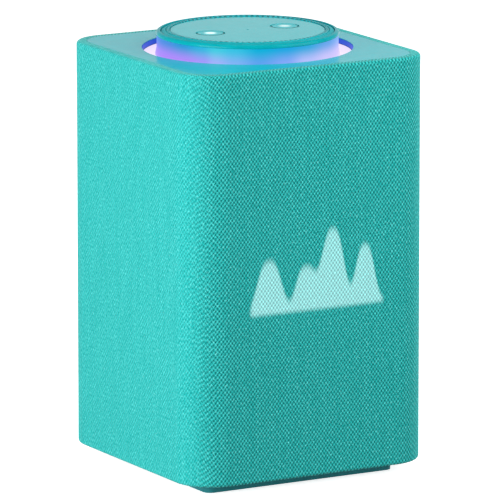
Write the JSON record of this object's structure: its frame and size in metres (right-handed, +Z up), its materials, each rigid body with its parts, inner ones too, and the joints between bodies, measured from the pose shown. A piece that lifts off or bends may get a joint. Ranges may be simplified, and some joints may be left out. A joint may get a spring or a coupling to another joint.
{
  "type": "mains smart speaker",
  "caption": "Square rounded tower speaker in acoustic cloth, with a lit rotary dial on top and a light display glowing through the front.",
  "frame": {"origin": "centre of the foot's underside, on the surface it stands on", "axes": "+Z up, -Y the front with the light display, +X to the right as seen from the front"},
  "size_m": [0.141, 0.141, 0.228],
  "materials": {
    "cloth": "knitted acoustic mesh in sea green",
    "sleeve_plastic": "moulded, matt",
    "top_plastic": "moulded, satin",
    "dial_plastic": "satin gloss",
    "light_guide": "translucent, lit from inside",
    "lit_inlay": "translucent, lit from inside",
    "foot_rubber": "matt",
    "cabinet_plastic": "fine moulded texture",
    "white_plastic": "matt white",
    "gear_plastic": "natural acetal",
    "circuit_board": "solder resist",
    "steel": "plated",
    "basket_metal": "black powder coat",
    "heat_sink": "extruded",
    "magnet": "bare ferrite",
    "driver_rubber": "matt",
    "cone_paper": "pressed pulp",
    "radiator_plate": "satin black",
    "spider_cloth": "resin dipped",
    "tweeter_housing": "moulded",
    "tweeter_silk": "coated silk"
  },
  "bodies": {
    "chassis": {"touch_disc": "top_plastic", "glow_ring": "light_guide", "neck_light_guide": "light_guide", "display_diffuser": "lit_inlay", "rubber_foot": "foot_rubber", "base_plate": "cabinet_plastic", "speaker_cabinet": "cabinet_plastic", "cabinet_lid": "cabinet_plastic", "upper_deck": "cabinet_plastic", "top_hub": "cabinet_plastic", "port_panel": "cabinet_plastic", "power_inlet": "cabinet_plastic", "audio_jack": "cabinet_plastic", "display_light_grid": "white_plastic", "display_board": "circuit_board", "main_board": "circuit_board", "port_board": "circuit_board", "light_ring_board": "circuit_board", "top_board": "circuit_board", "base_screw_1": "steel", "base_screw_2": "steel", "base_screw_3": "steel", "base_screw_4": "steel", "ethernet_socket": "steel", "hdmi_socket": "steel", "encoder_body": "steel", "left_button_switch": "steel", "right_button_switch": "steel", "woofer_basket": "basket_metal", "left_mid_basket": "basket_metal", "right_mid_basket": "basket_metal", "amplifier_heat_sink": "heat_sink", "woofer_magnet": "magnet", "woofer_surround": "driver_rubber", "left_mid_surround": "driver_rubber", "right_mid_surround": "driver_rubber", "left_radiator_surround": "driver_rubber", "right_radiator_surround": "driver_rubber", "woofer_spider": "spider_cloth", "left_tweeter": "tweeter_housing", "right_tweeter": "tweeter_housing", "left_tweeter_dome": "tweeter_silk", "right_tweeter_dome": "tweeter_silk"},
    "sleeve": {"cloth_cover": "cloth", "grille_shell": "sleeve_plastic", "top_plate": "top_plastic"},
    "dial": {"dial_carrier": "gear_plastic", "dial_rim": "dial_plastic", "dial_light_inlay": "lit_inlay", "dial_grip_ring": "dial_plastic"},
    "encoder_wheel": {"encoder_pinion": "gear_plastic"},
    "left_key": {"left_button": "top_plastic"},
    "right_key": {"right_button": "top_plastic"},
    "woofer_moving": {"woofer_cone": "cone_paper", "woofer_dust_cap": "cone_paper"},
    "left_radiator_moving": {"left_radiator": "radiator_plate"},
    "right_radiator_moving": {"right_radiator": "radiator_plate"},
    "left_mid_moving": {"left_mid_cone": "cone_paper"},
    "right_mid_moving": {"right_mid_cone": "cone_paper"}
  },
  "joints": [
    {"name": "sleeve_lift", "type": "slide", "parent": "chassis", "child": "sleeve", "axis": [0, 0, 1], "range_m": [0, 0.24]},
    {"name": "dial_turn", "type": "hinge", "parent": "chassis", "child": "dial", "pos_m": [0, 0, 0.2254], "axis": [0, 0, 1], "continuous": true},
    {"name": "encoder_turn", "type": "hinge", "parent": "chassis", "child": "encoder_wheel", "pos_m": [0, 0.0325, 0.21], "axis": [0, 0, 1], "continuous": true},
    {"name": "left_button_press", "type": "slide", "parent": "chassis", "child": "left_key", "axis": [0, 0, 1], "range_m": [-0.00035, 0], "stiffness_N_per_m": 400, "springref_m": 0.0004},
    {"name": "right_button_press", "type": "slide", "parent": "chassis", "child": "right_key", "axis": [0, 0, 1], "range_m": [-0.00035, 0], "stiffness_N_per_m": 400, "springref_m": 0.0004},
    {"name": "woofer_stroke", "type": "slide", "parent": "chassis", "child": "woofer_moving", "axis": [0, 0, -1], "range_m": [-0.003, 0.003], "stiffness_N_per_m": 1800},
    {"name": "left_radiator_stroke", "type": "slide", "parent": "chassis", "child": "left_radiator_moving", "axis": [-1, 0, 0], "range_m": [-0.003, 0.003], "stiffness_N_per_m": 1500},
    {"name": "right_radiator_stroke", "type": "slide", "parent": "chassis", "child": "right_radiator_moving", "axis": [1, 0, 0], "range_m": [-0.003, 0.003], "stiffness_N_per_m": 1500},
    {"name": "left_mid_stroke", "type": "slide", "parent": "chassis", "child": "left_mid_moving", "axis": [-1, 0, 0], "range_m": [-0.0008, 0.0008], "stiffness_N_per_m": 1500},
    {"name": "right_mid_stroke", "type": "slide", "parent": "chassis", "child": "right_mid_moving", "axis": [1, 0, 0], "range_m": [-0.0008, 0.0008], "stiffness_N_per_m": 1500}
  ],
  "couplings": [
    {"joint": "encoder_turn", "follows": "dial_turn", "ratio": 6}
  ]
}
